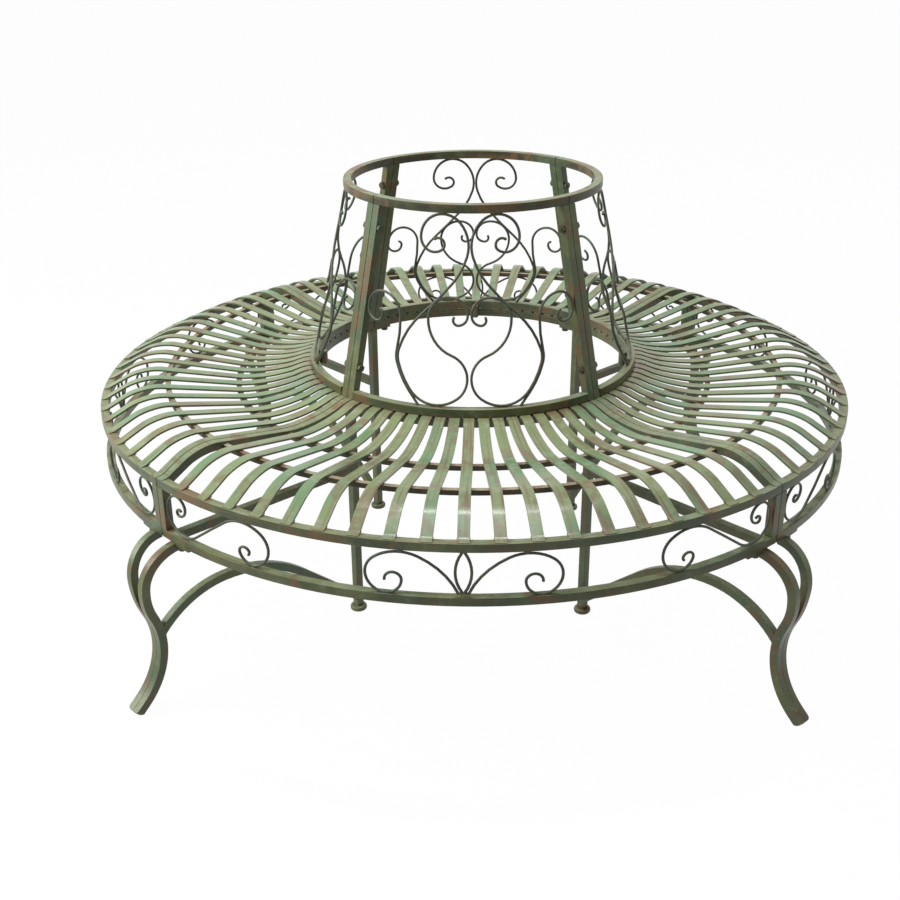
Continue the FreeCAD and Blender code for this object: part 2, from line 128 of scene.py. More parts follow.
leaf_start = (0.0, 0.0, 55.5)
leaf_runs = ((62.0, 69.0),)
leaf_base = 7.5 * mm
leaf_tip_gap = 1.5 * mm
leaf_half_gap = 2.075 * mm
apron_curl_start = (8.2, -2.0, 68.0)
apron_curl_runs = ((133.0, -41.0), (65.9, -65.6), (38.4, -107.6), (26.9, -123.5), (13.7, -188.0))
corner_scroll_start = (362.0, 29.5, 143.0)
corner_scroll_runs = (
    (6.5, -80.0), (10.5, -168.0), (26.0, -95.5), (38.9, -121.4), (60.3, -74.8), (4100.0, -1.3),
    (48.5, 72.0), (40.5, 109.0), (22.3, 104.8), (18.4, 105.0), (6.6, 240.0),
)
corner_scroll_width = 237 * mm

# Leg frames
leg_start_radius = 737
leg_start_height = 320
leg_bars_apart = 0.05 * mm
leg_runs = ((69.0, -90.0), (3.0, 0.0), (150.0, -24.6), (145.0, 32.6), (145.0, 40.0), (23.0, 0.0))
leg_filled_from = 4
leg_step = 4
toe_rounding_steps = 5
toe_edge_reach = 1 * mm
plate_steps = 5
leg_spread = 31 * mm
leg_join_length = 178 * mm
toe_round = 7 * mm
groove_filler = 5 * mm
arch_centre = (634, -66.5)
arch_bend = 270
arch_outer_bend = 191.3
arch_outer_angle = 40
arch_change_angle = 90
arch_inner_angle = 129.5
radial_bar_ends = (333 * mm, 738 * mm)
radial_bar_mitre = 16 * mm
inner_leg_face = 333 * mm
inner_leg_top = 452 * mm
pad_radius = 17 * mm
pad_thickness = 10 * mm
pad_middle = 325 * mm
pad_rounding = 3.4 * mm
pad_sides = 28
outer_plate = (735.5 * mm, 748.5 * mm, 322 * mm, 31.1 * mm, 74 * mm)
inner_plate = (318.5 * mm, 331.5 * mm, 446 * mm, 8.1 * mm, 46 * mm)

# Bolts and lugs
bolt_across_flats = 13 * mm
bolt_head = 6 * mm
bolt_nut = 6 * mm
thread_sides = 16
thread_radius = 3.6 * mm
thread_end = 2 * mm
outer_bolt_spot = (742 * mm, 48 * mm, 322 * mm)
inner_bolt_spot = (325 * mm, 34 * mm, 446 * mm)
post_bolt_heights = (530 * mm, 787 * mm)
lug_radius = 8 * mm
lug_middle = 309 * mm
lug_low = 452 * mm
lug_high = 481 * mm
lug_rounding = 3 * mm
lug_sides = 20


# Placing

def place(radius, azimuth, height):
    turn = math.radians(azimuth)
    return Vector((radius * math.sin(turn), -radius * math.cos(turn), height))


def azimuth_at(radius, distance):
    return half_turn - math.degrees(math.asin(distance / radius))


def back_radius(height):
    rise = (height - seat_ring_top) / (crown_bottom - seat_ring_top)
    return seat_ring_radius + (crown_radius - seat_ring_radius) * rise


# Workshop moves

def nothing_selected():
    bpy.ops.object.select_all(action="DESELECT")


def only(piece):
    nothing_selected()
    piece.select_set(True)
    bpy.context.view_layer.objects.active = piece


def settled(name):
    """The new primitive, named, with its place moved into its mesh."""
    piece = bpy.context.object
    piece.name = name
    piece.data.name = name
    bpy.ops.object.transform_apply(location=True, rotation=True, scale=True)
    return piece


def edit(piece):
    only(piece)
    bpy.ops.object.mode_set(mode="EDIT")


def done():
    bpy.ops.object.mode_set(mode="OBJECT")


def pick(kind, test):
    """Select the vertices, edges or faces that pass a test, and nothing else."""
    bpy.ops.mesh.select_mode(type=kind)
    bpy.ops.mesh.select_all(action="DESELECT")
    shape = bmesh.from_edit_mesh(bpy.context.edit_object.data)
    parts = {"VERT": shape.verts, "EDGE": shape.edges, "FACE": shape.faces}[kind]
    for part in parts:
        if test(part):
            part.select_set(True)
    shape.select_flush_mode()
    bmesh.update_edit_mesh(bpy.context.edit_object.data)


def closed():
    """Merge doubles and turn all faces outwards, in edit mode."""
    bpy.ops.mesh.select_all(action="SELECT")
    bpy.ops.mesh.remove_doubles(threshold=same_spot)
    bpy.ops.mesh.normals_make_consistent(inside=False)


def in_fixed_order():
    """Number the edges afresh, in edit mode: a connected spread comes out by their order."""
    bpy.ops.mesh.select_all(action="SELECT")
    bpy.ops.mesh.sort_elements(type="CURSOR_DISTANCE", elements={"EDGE"})


def finished(piece, kind, **values):
    """Add a modifier and apply it."""
    only(piece)
    change = piece.modifiers.new(kind.title(), kind)
    for name, value in values.items():
        setattr(change, name, value)
    bpy.ops.object.modifier_apply(modifier=change.name)


def eased(piece, width, segments=2, sharpest=35):
    """Round the long edges of a bar and shade it."""
    finished(piece, "BEVEL", width=width, segments=segments, limit_method="ANGLE",
             angle_limit=math.radians(sharpest), use_clamp_overlap=True)
    bpy.ops.object.shade_smooth_by_angle(angle=math.radians(smooth_under))
    return piece


def copied(piece, name, azimuth=0, mirror=False):
    """Another of a piece with its own mesh, turned about the tree."""
    only(piece)
    bpy.ops.object.duplicate(linked=False)
    copy = bpy.context.object
    copy.name = name
    copy.data.name = name
    if mirror:
        copy.scale.x = -1
        bpy.ops.object.transform_apply(location=False, rotation=False, scale=True)
        edit(copy)
        bpy.ops.mesh.select_all(action="SELECT")
        bpy.ops.mesh.normals_make_consistent(inside=False)
        done()
    copy.rotation_euler.z = math.radians(azimuth)
    bpy.ops.object.transform_apply(location=False, rotation=True, scale=False)
    return copy


def joined(name, pieces):
    nothing_selected()
    for piece in pieces:
        piece.select_set(True)
    bpy.context.view_layer.objects.active = pieces[0]
    if len(pieces) > 1:
        bpy.ops.object.join()
    whole = bpy.context.object
    whole.name = name
    whole.data.name = name
    return whole


def thrown_away(*pieces):
    for piece in pieces:
        bpy.data.objects.remove(piece)


def fitted(piece, finish, slot, *nodes):
    """Give a piece its paint and its place on the bench."""
    piece.data.materials.clear()
    piece.data.materials.append(finish)
    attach(piece, "root")
    if nodes:
        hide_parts(*nodes)


def flat_faced(pieces):
    """Keep the wide faces of bars flat to the light, which turns on their rounded edges."""
    for piece in pieces:
        finished(piece, "WEIGHTED_NORMAL", mode="FACE_AREA", weight=50, keep_sharp=True)


def round_the_tree(pieces, name, finish, slot, seams=False):
    """Four copies of one quarter's pieces, each standing for its node."""
    flat_faced(pieces)
    for index, spot in enumerate(seam_names if seams else section_names):
        azimuth = index * section_turn + (half_turn if seams else 0)
        copies = [copied(piece, name, azimuth) for piece in pieces]
        whole = joined("bench_" + name + "_" + spot, copies)
        fitted(whole, finish, slot, name + "_" + spot)
    thrown_away(*pieces)


def in_one(pieces, name, finish, slot, first=half_turn):
    """All four copies in one piece, standing for one node."""
    flat_faced(pieces)
    copies = []
    for index in range(quarters):
        copies += [copied(piece, name, first + index * section_turn) for piece in pieces]
    fitted(joined("bench_" + name, copies), finish, slot, name)
    thrown_away(*pieces)


# Bars

def ring_quarter(name, outer, size, bottom, margin, steps):
    """A square end face set up beside one seam and spun round the tree to the other."""
    middle = outer - size / 2
    end = azimuth_at(middle, margin)
    nothing_selected()
    bpy.ops.mesh.primitive_plane_add(size=size, location=place(middle, -end, bottom + size / 2),
                                     rotation=(math.radians(90), 0, math.radians(90 - end)))
    ring = settled(name)
    edit(ring)
    bpy.ops.mesh.select_all(action="SELECT")
    bpy.ops.mesh.spin(steps=steps, angle=math.radians(2 * end), center=(0, 0, 0), axis=(0, 0, -1))
    closed()
    done()
    return eased(ring, bar_corner * size / bar)


def waved_strip(name, left, right, corners, bends):
    """A strip drawn out corner by corner along the wave, with each corner then bent to its radius."""
    nothing_selected()
    (r0, z0), (r1, z1) = corners[:2]
    middle = (left + right) / 2
    bpy.ops.mesh.primitive_plane_add(size=1, location=(middle, 0, 0))
    strip = settled(name)
    edit(strip)
    bpy.ops.mesh.select_all(action="SELECT")
    bpy.ops.transform.resize(value=(right - left, (r1 - r0) * mm, 1), center_override=(middle, 0, 0))
    bpy.ops.transform.translate(value=(0, -(r0 + r1) / 2 * mm, z0 * mm))
    for (r0, z0), (r1, z1) in zip(corners[1:], corners[2:]):
        pick("EDGE", lambda e: all(abs(v.co.y + r0 * mm) < same_spot for v in e.verts))
        onward = (0, (r0 - r1) * mm, (z1 - z0) * mm)
        bpy.ops.mesh.extrude_edges_move(TRANSFORM_OT_translate={"value": onward})
    for before, corner, after, bend in zip(corners, corners[1:], corners[2:], bends):
        first = math.atan2(corner[1] - before[1], corner[0] - before[0])
        turn = abs(math.atan2(after[1] - corner[1], after[0] - corner[0]) - first)
        spot = Vector((0, -corner[0] * mm, corner[1] * mm))
        pick("EDGE", lambda e: all((v.co - spot).yz.length < same_spot for v in e.verts))
        bpy.ops.mesh.bevel(offset=bend * mm * math.tan(turn / 2), offset_type="OFFSET",
                           segments=wave_flats, profile=0.5, affect="EDGES", clamp_overlap=False)
    bpy.ops.mesh.select_all(action="SELECT")
    bpy.ops.mesh.normals_make_consistent(inside=False)
    shape = bmesh.from_edit_mesh(strip.data)
    shape.faces.ensure_lookup_table()
    if shape.faces[0].normal.z < 0:
        bpy.ops.mesh.flip_normals()
    done()
    return strip


def raised(corners, distance):
    """A radial line moved up by a distance at right angles to its runs."""
    headings = [math.atan2(b[1] - a[1], b[0] - a[0]) for a, b in zip(corners, corners[1:])]
    out = []
    for i, (r, z) in enumerate(corners):
        before = headings[max(i - 1, 0)]
        after = headings[min(i, len(headings) - 1)]
        side = distance / math.cos((after - before) / 2)
        middle = (before + after) / 2
        out.append((r - side * math.sin(middle), z + side * math.cos(middle)))
    return out


def make_slats():
    """A section's slats: one flat bar in the wave, welded at both ends, and its copies."""
    corners = list(wave_corners[:-2]) + slat_tail
    slat = waved_strip("slat", -slat_width / 2, slat_width / 2, corners, wave_bends)
    finished(slat, "SOLIDIFY", thickness=slat_thickness, offset=1, use_even_offset=True)
    eased(slat, slat_corner)
    spots = [(side * slat_width / 2, -radius, height)
             for side in (-1, 1) for radius, height in slat_welds]
    beads = [weld(spot, slat_weld_size, index) for index, spot in enumerate(spots)]
    slat = joined("slat", [slat] + beads)
    last = azimuth_at(seat_ring_radius - bar, end_reach + slat_width / 2 + slat_end_gap)
    middle = (slats_per_section - 1) / 2
    slats = [copied(slat, "slat", last * (i - middle) / middle) for i in range(slats_per_section)]
    thrown_away(slat)
    return slats


def make_end_bars():
    """The two square bars of the same wave beside a seam."""
    corners = raised(wave_corners, slat_thickness / mm)
    corners[0] = (seat_ring_radius / mm, corners[0][1])
    corners[-2:] = end_bar_tail
    end = waved_strip("end bar", seam / 2, end_reach, corners, wave_bends[:3] + (end_bar_tail_bend,))
    finished(end, "SOLIDIFY", thickness=bar, offset=-1, use_even_offset=True)
    eased(end, bar_corner)
    return [end, copied(end, "end bar", mirror=True)]


def make_rails():
    """The inner and the outer rail under a section's slats."""
    return [ring_quarter("seat rail", radius + rail_bar / 2, rail_bar, bottom, end_reach, steps)
            for radius, bottom, steps in ((inner_rail_radius, inner_rail_bottom, inner_rail_steps),
                                          (outer_rail_radius, outer_rail_bottom, outer_rail_steps))]


def upright_bar(name, low, high):
    """A square bar beside a seam, from one point of the radial plane to another."""
    nothing_selected()
    (r0, z0), (r1, z1) = low, high
    bpy.ops.mesh.primitive_cube_add(size=1, location=(seam / 2 + bar / 2, bar / 2 - r0, (z0 + z1) / 2),
                                    scale=(bar, bar, z1 - z0))
    post = settled(name)
    edit(post)
    pick("FACE", lambda f: f.normal.z > 0.9)
    bpy.ops.transform.translate(value=(0, r0 - r1, 0))
    done()
    return eased(post, post_corner)


def make_back_posts():
    """A pair of posts that lean in from the seat ring to the crown."""
    post = upright_bar("back post", (seat_ring_radius, seat_ring_top), (crown_radius, crown_bottom))
    return [post, copied(post, "back post", mirror=True)]


def make_apron_posts():
    """A pair of posts between the apron ring and the rim."""
    post = upright_bar("apron post", (rim_radius, apron_ring_top), (rim_radius, rim_top - bar))
    return [post, copied(post, "apron post", mirror=True)]


# Scroll rods

def walked(start, runs):
    """The corners of the box round a rod's middle line."""
    x, z, angle = start[0] * mm, start[1] * mm, math.radians(start[2])
    xs, zs = [x], [z]
    for radius, turn in runs:
        pieces = max(1, int(abs(turn)))
        part = math.radians(turn) / pieces
        chord = (radius if turn == 0 else 2 * radius * math.sin(abs(part) / 2)) * mm
        for _ in range(pieces):
            x += chord * math.cos(angle + part / 2)
            z += chord * math.sin(angle + part / 2)
            angle += part
            xs.append(x)
            zs.append(z)
    return min(xs), max(xs), min(zs), max(zs)


def bent_rod(name, start, runs):
    """A round rod drawn flat: its end face is spun about the centre of one bend after another."""
    x, z, angle = start[0] * mm, start[1] * mm, math.radians(start[2])
    nothing_selected()
    bpy.ops.mesh.primitive_circle_add(vertices=rod_sides, radius=rod / 2, fill_type="NGON",
                                      location=(x, 0, z), rotation=(0, math.radians(90) - angle, 0))
    piece = settled(name)
    edit(piece)
    bpy.ops.mesh.select_mode(type="FACE")
    bpy.ops.mesh.select_all(action="SELECT")
    for radius, turn in runs:
        if turn == 0:
            dx, dz = radius * mm * math.cos(angle), radius * mm * math.sin(angle)
            bpy.ops.mesh.extrude_region_move(TRANSFORM_OT_translate={"value": (dx, 0, dz)})
            x, z = x + dx, z + dz
            continue
        side = math.copysign(radius * mm, turn)
        centre = (x - side * math.sin(angle), 0, z + side * math.cos(angle))
        steps = max(2, int(math.ceil(abs(turn) / rod_step)))
        bpy.ops.mesh.spin(steps=steps, angle=math.radians(turn), center=centre, axis=(0, 1, 0))
        angle += math.radians(turn)
        x, z = centre[0] + side * math.sin(angle), centre[2] - side * math.cos(angle)
    closed()
    pick("FACE", lambda f: len(f.verts) > 4)
    bpy.ops.mesh.inset(thickness=rod_end_inset, depth=rod_end_dome)
    done()
    bpy.ops.object.shade_smooth_by_angle(angle=math.radians(rod_smooth_under))
    return piece


def stretched(piece, x_scale, x_shift, z_scale, z_shift):
    """Fit a flat rod into its opening."""
    edit(piece)
    bpy.ops.mesh.select_all(action="SELECT")
    bpy.ops.transform.resize(value=(x_scale, 1, z_scale), center_override=(0, 0, 0))
    bpy.ops.transform.translate(value=(x_shift, 0, z_shift))
    done()


def laid_on_back(piece):
    """Lay a flat rod on the leaning back, its height counted from the foot ring."""
    lean = (crown_radius - seat_ring_radius) / (crown_bottom - seat_ring_top)
    for corner in piece.data.vertices:
        height = foot_ring_top + corner.co.z
        radius = back_radius(height) - bar / 2 + rod_set_out
        azimuth = math.degrees(corner.co.x / radius)
        up = place(lean, azimuth, 1).normalized()
        outward = place(1, azimuth + 90, 0).cross(up)
        corner.co = place(radius, azimuth, height) - outward * corner.co.y
    return piece


def laid_on_apron(piece):
    """Lay a flat rod on the round apron, its height counted from the apron ring."""
    for corner in piece.data.vertices:
        radius = rim_radius - bar / 2 + rod_set_out
        azimuth = math.degrees(corner.co.x / radius)
        corner.co = place(radius - corner.co.y, azimuth, apron_ring_top + corner.co.z)
    return piece


def spread_over(low, high, first, last):
    """The scale and the shift that take one stretch to another."""
    scale = (last - first) / (high - low)
    return scale, first - low * scale


def make_back_scrolls():
    """The lyre rods and side curls of one back section, with their welds."""
    lyre = bent_rod("lyre rod", lyre_start, lyre_runs)
    left, _, low, high = walked(lyre_start, lyre_runs)
    scale, shift = spread_over(low, high, rod / 2, crown_bottom - foot_ring_top - rod / 2)
    stretched(lyre, 1, rod / 2 - left, scale, shift)
    curl = bent_rod("side curl", side_curl_start, side_curl_runs)
    stretched(curl, side_curl_stretch, side_curl_room * (1 - side_curl_stretch), 1, 0)
    rods = [laid_on_back(lyre), laid_on_back(curl)]
    rods += welds_where_it_touches(lyre, rod_weld_size)
    rods += welds_where_it_touches(curl, rod_weld_size, highest=False)
    return rods + [copied(r, r.name, mirror=True) for r in rods]


def make_apron_centre():
    """The pointed leaf at an apron's middle, with a curl on each side."""
    leaf = bent_rod("leaf rod", leaf_start, leaf_runs)
    _, _, low, high = walked(leaf_start, leaf_runs)
    scale, shift = spread_over(low, high, leaf_base, apron_opening - leaf_tip_gap)
    stretched(leaf, 1, leaf_half_gap, scale, shift)
    curl = bent_rod("apron curl", apron_curl_start, apron_curl_runs)
    across, _, heading = apron_curl_start
    _, _, low, high = walked((across, 0.0, heading), apron_curl_runs)
    scale, shift = spread_over(low, high, rod / 2, apron_opening - rod / 2)
    stretched(curl, 1, 0, scale, shift)
    rods = [laid_on_apron(leaf), laid_on_apron(curl)]
    rods += welds_where_it_touches(leaf, rod_weld_size) + welds_where_it_touches(curl, rod_weld_size)
    return rods + [copied(r, r.name, mirror=True) for r in rods]


def make_corner_scrolls():
    """The two S scrolls beside a seam."""
    scroll = bent_rod("corner scroll", corner_scroll_start, corner_scroll_runs)
    left, right, low, high = walked(corner_scroll_start, corner_scroll_runs)
    radius = rim_radius - bar / 2
    room = radius * math.radians(azimuth_at(radius, end_reach)) - rod / 2
    x_scale, x_shift = spread_over(left, right, room - corner_scroll_width, room)
    z_scale, z_shift = spread_over(low, high, rod / 2, apron_opening - rod / 2)
    stretched(scroll, x_scale, x_shift, z_scale, z_shift)
    laid_on_apron(scroll)
    scroll = joined("corner scroll", [scroll] + welds_where_it_touches(scroll, rod_weld_size))
    left = copied(scroll, "corner scroll", -half_turn)
    thrown_away(scroll)
    return [left, copied(left, "corner scroll", mirror=True)]


# Leg frames, made at azimuth 0 and turned to a seam

def bent_in_plane(name, width, depth, middle, start, runs, step):
    """A flat-sided bar bent in the radial plane: its end face is spun about each bend's centre."""
    r, z, angle = start[0] * mm, start[1] * mm, math.radians(start[2])
    nothing_selected()
    bpy.ops.mesh.primitive_plane_add(size=1, location=(middle, -r, z),
                                     rotation=(math.radians(90) - angle, 0, 0))
    piece = bpy.context.object
    piece.scale = (width, depth, 1)
    settled(name)
    edit(piece)
    bpy.ops.mesh.select_mode(type="FACE")
    bpy.ops.mesh.select_all(action="SELECT")
    for radius, turn in runs:
        if turn == 0:
            dr, dz = radius * mm * math.cos(angle), radius * mm * math.sin(angle)
            bpy.ops.mesh.extrude_region_move(TRANSFORM_OT_translate={"value": (0, -dr, dz)})
            r, z = r + dr, z + dz
            continue
        side = math.copysign(radius * mm, turn)
        centre = (middle, -(r - side * math.sin(angle)), z + side * math.cos(angle))
        steps = max(2, int(math.ceil(abs(turn) / step)))
        bpy.ops.mesh.spin(steps=steps, angle=math.radians(turn), center=centre, axis=(1, 0, 0))
        angle += math.radians(turn)
        r, z = -centre[1] + side * math.sin(angle), centre[2] - side * math.cos(angle)
    closed()
    done()
    return piece


def end_of(start, runs):
    """Where a bar's middle line ends in the radial plane, and its heading there."""
    r, z, angle = start[0] * mm, start[1] * mm, math.radians(start[2])
    for radius, turn in runs:
        if turn == 0:
            r, z = r + radius * mm * math.cos(angle), z + radius * mm * math.sin(angle)
            continue
        side = math.copysign(radius * mm, turn)
        r, z = r - side * math.sin(angle), z + side * math.cos(angle)
        angle += math.radians(turn)
        r, z = r + side * math.sin(angle), z - side * math.cos(angle)
    return Vector((0, -r, z)), angle


def along(spot, heading):
    """How far a spot lies along a heading in the radial plane."""
    return -spot.y * math.cos(heading) + spot.z * math.sin(heading)


def cut_at_ground():
    """Take off what lies under the ground, and close the cut."""
    bpy.ops.mesh.select_all(action="SELECT")
    bpy.ops.mesh.bisect(plane_co=(0, 0, 0), plane_no=(0, 0, 1), clear_inner=True, use_fill=True)


def make_outer_legs():
    """Two bars that spread under the apron ring and run down side by side to a rounded toe."""
    middle = leg_bar_width / 2 + leg_bars_apart
    start = (leg_start_radius, leg_start_height, 0)
    leg = bent_in_plane("outer leg", leg_bar_width, leg_bar_depth, middle, start, leg_runs, leg_step)
    toe_edge, heading = end_of(start, leg_runs)
    edit(leg)
    toe = along(toe_edge, heading) - toe_edge_reach
    pick("EDGE", lambda e: all(v.co.x > middle and along(v.co, heading) > toe for v in e.verts))
    bpy.ops.mesh.bevel(offset=toe_round, segments=toe_rounding_steps, affect="EDGES",
                       clamp_overlap=False)
    in_fixed_order()
    pick("VERT", lambda v: v.co.y > -leg_start_radius * mm - same_spot)
    bpy.ops.transform.translate(value=(leg_spread - middle, 0, 0), use_proportional_edit=True,
                                proportional_edit_falloff="SMOOTH", proportional_size=leg_join_length,
                                use_proportional_connected=True)
    cut_at_ground()
    done()
    eased(leg, bar_corner)
    fill_start, heading = end_of(start, leg_runs[:leg_filled_from])
    fill_start = (-fill_start.y / mm, fill_start.z / mm, math.degrees(heading))
    fill_runs = leg_runs[leg_filled_from:-1] + ((leg_runs[-1][0] - toe_round / mm / 2, 0.0),)
    filler = bent_in_plane("groove weld", groove_filler, leg_bar_depth - bar_corner, 0, fill_start,
                           fill_runs, leg_step)
    edit(filler)
    cut_at_ground()
    done()
    bpy.ops.object.shade_smooth_by_angle(angle=math.radians(smooth_under))
    return [leg, copied(leg, "outer leg", mirror=True), filler]


def make_arch_brace():
    """The arch from an outer leg to an inner leg, straight over its last stretch."""
    change = math.radians(arch_change_angle)
    nearer = arch_bend - arch_outer_bend
    angle = math.radians(arch_outer_angle)
    start = (arch_centre[0] + nearer * math.cos(change) + arch_outer_bend * math.cos(angle),
             arch_centre[1] + nearer * math.sin(change) + arch_outer_bend * math.sin(angle),
             arch_outer_angle + 90)
    angle = math.radians(arch_inner_angle)
    r = arch_centre[0] + arch_bend * math.cos(angle)
    length = (seat_ring_radius / mm - bar / mm / 2 - r) / math.cos(angle + math.pi / 2)
    runs = ((arch_outer_bend, arch_change_angle - arch_outer_angle),
            (arch_bend, arch_inner_angle - arch_change_angle), (length, 0))
    arch = bent_in_plane("arch brace", arch_bar_width, leg_bar_depth, 0, start, runs, leg_step)
    return [eased(arch, bar_corner)]


def square_bar(name, low, high, corner=bar_corner):
    """A straight bar between two corners of its box, with its ends dressed."""
    nothing_selected()
    middle = [(a + b) / 2 for a, b in zip(low, high)]
    size = [b - a for a, b in zip(low, high)]
    bpy.ops.mesh.primitive_cube_add(size=1, location=middle, scale=size)
    return eased(settled(name), corner)


def make_radial_bar():
    """A bar from the inner leg out under the apron ring, mitred at its outer end."""
    inner, outer = radial_bar_ends
    low = apron_ring_bottom - bar
    nothing_selected()
    bpy.ops.mesh.primitive_cube_add(size=1, location=(0, -(inner + outer) / 2, low + bar / 2),
                                    scale=(bar, outer - inner, bar))
    piece = settled("radial bar")
    edit(piece)
    pick("VERT", lambda v: v.co.y < -inner - bar and v.co.z < low + bar / 2)
    bpy.ops.transform.translate(value=(0, radial_bar_mitre, 0))
    done()
    return eased(piece, bar_corner)


def make_inner_leg():
    return square_bar("inner leg", (-bar / 2, -inner_leg_face, pad_thickness),
                      (bar / 2, bar - inner_leg_face, inner_leg_top))


def round_piece(name, radius, low, high, middle, sides, corner):
    """A short round pin or pad standing up, its rims rounded over."""
    nothing_selected()
    bpy.ops.mesh.primitive_cylinder_add(vertices=sides, radius=radius, depth=high - low,
                                        location=(0, -middle, (low + high) / 2))
    piece = settled(name)
    return eased(piece, corner, segments=3, sharpest=50)


def make_pad():
    return round_piece("foot pad", pad_radius, 0, pad_thickness, pad_middle, pad_sides, pad_rounding)


def make_lug():
    return round_piece("ring lug", lug_radius, lug_low, lug_high, lug_middle, lug_sides, lug_rounding)


def make_plate(inner, outer, bottom, first, last):
    """A strip of plate under a ring, spun from one distance beside the seam to another."""
    middle = (inner + outer) / 2
    start = math.degrees(math.asin(first / middle))
    stop = math.degrees(math.asin(last / middle))
    nothing_selected()
    bpy.ops.mesh.primitive_plane_add(size=1, location=place(middle, start, bottom + plate_thickness / 2),
                                     rotation=(math.radians(90), 0, math.radians(90 + start)))
    bpy.context.object.scale = (outer - inner, plate_thickness, 1)
    plate = settled("frame plate")
    edit(plate)
    bpy.ops.mesh.select_all(action="SELECT")
    bpy.ops.mesh.spin(steps=plate_steps, angle=math.radians(stop - start), center=(0, 0, 0),
                      axis=(0, 0, -1))
    closed()
    done()
    eased(plate, plate_corner)
    return [plate, copied(plate, "frame plate", mirror=True)]


def hexagon(name, depth, spot, turn):
    """A bolt head or nut with its corners taken off."""
    nothing_selected()
    bpy.ops.mesh.primitive_cylinder_add(vertices=6, radius=bolt_across_flats / math.sqrt(3), depth=depth,
                                        location=spot, rotation=turn)
    return eased(settled(name), bolt_corner)


def make_bolts():
    """The bolts beside one seam: heads under the plates, and head, nut and thread end at the posts."""
    pieces = []
    for radius, distance, top in (outer_bolt_spot, inner_bolt_spot):
        azimuth = math.degrees(math.asin(distance / radius))
        head = hexagon("bolt head", bolt_head, place(radius, azimuth, top - bolt_head / 2),
                       (0, 0, math.radians(azimuth)))
        pieces += [head, copied(head, "bolt head", mirror=True)]
    for height in post_bolt_heights:
        y = bar / 2 - back_radius(height)
        lying = (0, math.radians(90), 0)
        pieces.append(hexagon("bolt head", bolt_head, (end_reach + bolt_head / 2, y, height), lying))
        pieces.append(hexagon("bolt nut", bolt_nut, (-end_reach - bolt_nut / 2, y, height), lying))
        nothing_selected()
        bpy.ops.mesh.primitive_cylinder_add(vertices=thread_sides, radius=thread_radius,
                                            depth=thread_end * 2, rotation=lying,
                                            location=(-end_reach - bolt_nut, y, height))
        pieces.append(eased(settled("bolt thread"), thread_corner))
    return pieces


# Welds

def weld(spot, size, seed):
    """A lump of weld, pressed out of a ball and left uneven."""
    nothing_selected()
    bpy.ops.mesh.primitive_uv_sphere_add(segments=weld_sides, ring_count=weld_rings, radius=1,
                                         location=(0, 0, 0))
    lump = bpy.context.object
    uneven = random.Random(seed)
    for corner in lump.data.vertices:
        corner.co *= uneven.uniform(*weld_swell)
    lump.scale = size
    lump.rotation_euler.z = math.atan2(spot[0], -spot[1])
    lump.location = spot
    settled("weld")
    bpy.ops.object.shade_smooth()
    marked = lump.data.attributes.new("weld", "FLOAT", "POINT")
    marked.data.foreach_set("value", [1.0] * len(lump.data.vertices))
    return lump


def welds_where_it_touches(piece, size, lowest=True, highest=True):
    """Welds at the lowest and highest point of a rod."""
    corners = sorted((corner.co.copy() for corner in piece.data.vertices), key=lambda co: co.z)
    ends = ([corners[0]] if lowest else []) + ([corners[-1]] if highest else [])
    return [weld(co, size, len(corners) + index) for index, co in enumerate(ends)]


# Finishes

# Each pattern of the paint is a noise (repeats per metre, layers, roughness, swirl) and the step that
# cuts it out (from, to, and what these become)
paint_patterns = {
    "clouds": ((9, 3), (0.42, 0.6)),
    "chalk": ((42, 5, 0.65), (0.5, 0.7)),
    # The next two noises break up the dust with painted top light on upward faces, and the painted shade
    # with grime on sideways faces
    "dust and top light": ((24, 4, 0.6), (0.3, 0.62, 0.45, 1.0)),
    "shade and grime": ((15, 4, 0.6), (0.3, 0.6, 0.35, 1.0)),
    "streaks": ((1, 3, 0.6), (0.5, 0.68)),
    "rubbed spots": ((16, 4, 0.62, 0.4), (0.54, 0.62)),
    "edge breaks": ((55, 5, 0.65), (0.38, 0.62)),
    "corner breaks": ((30, 4, 0.6), (0.36, 0.58)),
}
flake_noise = (130, 6, 0.7, 0.6)
grain_noise = (520, 2)
brush_noise = (70, 1)
edge_step = (0.985, 0.8)
corner_step = (0.85, 0.45)
upward_step = (0.35, 0.9)
grain_step = (0.4, 0.7, 0, 0.22)
chip_level = (0, 1, 0.78, 0.58)
chip_softness = 0.03
chalk_cover = 0.55
corner_cover = 0.75
# Share of Pale along the edges: rubbed paint and a painted highlight
edge_wear_and_highlight_cover = 0.6
edge_width = 1.8 * mm
corner_reach = 12 * mm
corner_samples = 4
chip_dullness = 0.3
chalk_dullness = 0.16
grain_gloss = (0.2, 0.8, -0.06, 0.08)
brush_depth = 0.6
chip_depth = 0.7
relief_strength = 0.35
paint_relief = 0.4 * mm
paint_shine = 0.4
browned_share = 0.3


def colour(red, green, blue):
    """A colour read as 0 to 255 on a screen, as the shader wants it."""
    def linear(value):
        value /= 255
        return value / 12.92 if value <= 0.04045 else ((value + 0.055) / 1.055) ** 2.4
    return (linear(red), linear(green), linear(blue), 1)


def added(tree, kind, inputs=None, **settings):
    """A node in a tree, with its settings made and its inputs set or linked."""
    node = tree.nodes.new(kind)
    for name, value in settings.items():
        setattr(node, name, value)
    for name, value in (inputs or {}).items():
        if isinstance(value, bpy.types.NodeSocket):
            tree.links.new(value, node.inputs[name])
        else:
            node.inputs[name].default_value = value
    return node


def effect_group(name, inputs, outputs):
    """An empty shader group with its named sockets."""
    tree = bpy.data.node_groups.new(name, "ShaderNodeTree")
    for label, kind, value in inputs:
        socket = tree.interface.new_socket(label, in_out="INPUT", socket_type=kind)
        if value is not None:
            socket.default_value = value
    for label, kind in outputs:
        tree.interface.new_socket(label, in_out="OUTPUT", socket_type=kind)
    return tree, tree.nodes.new("NodeGroupInput").outputs, tree.nodes.new("NodeGroupOutput").inputs


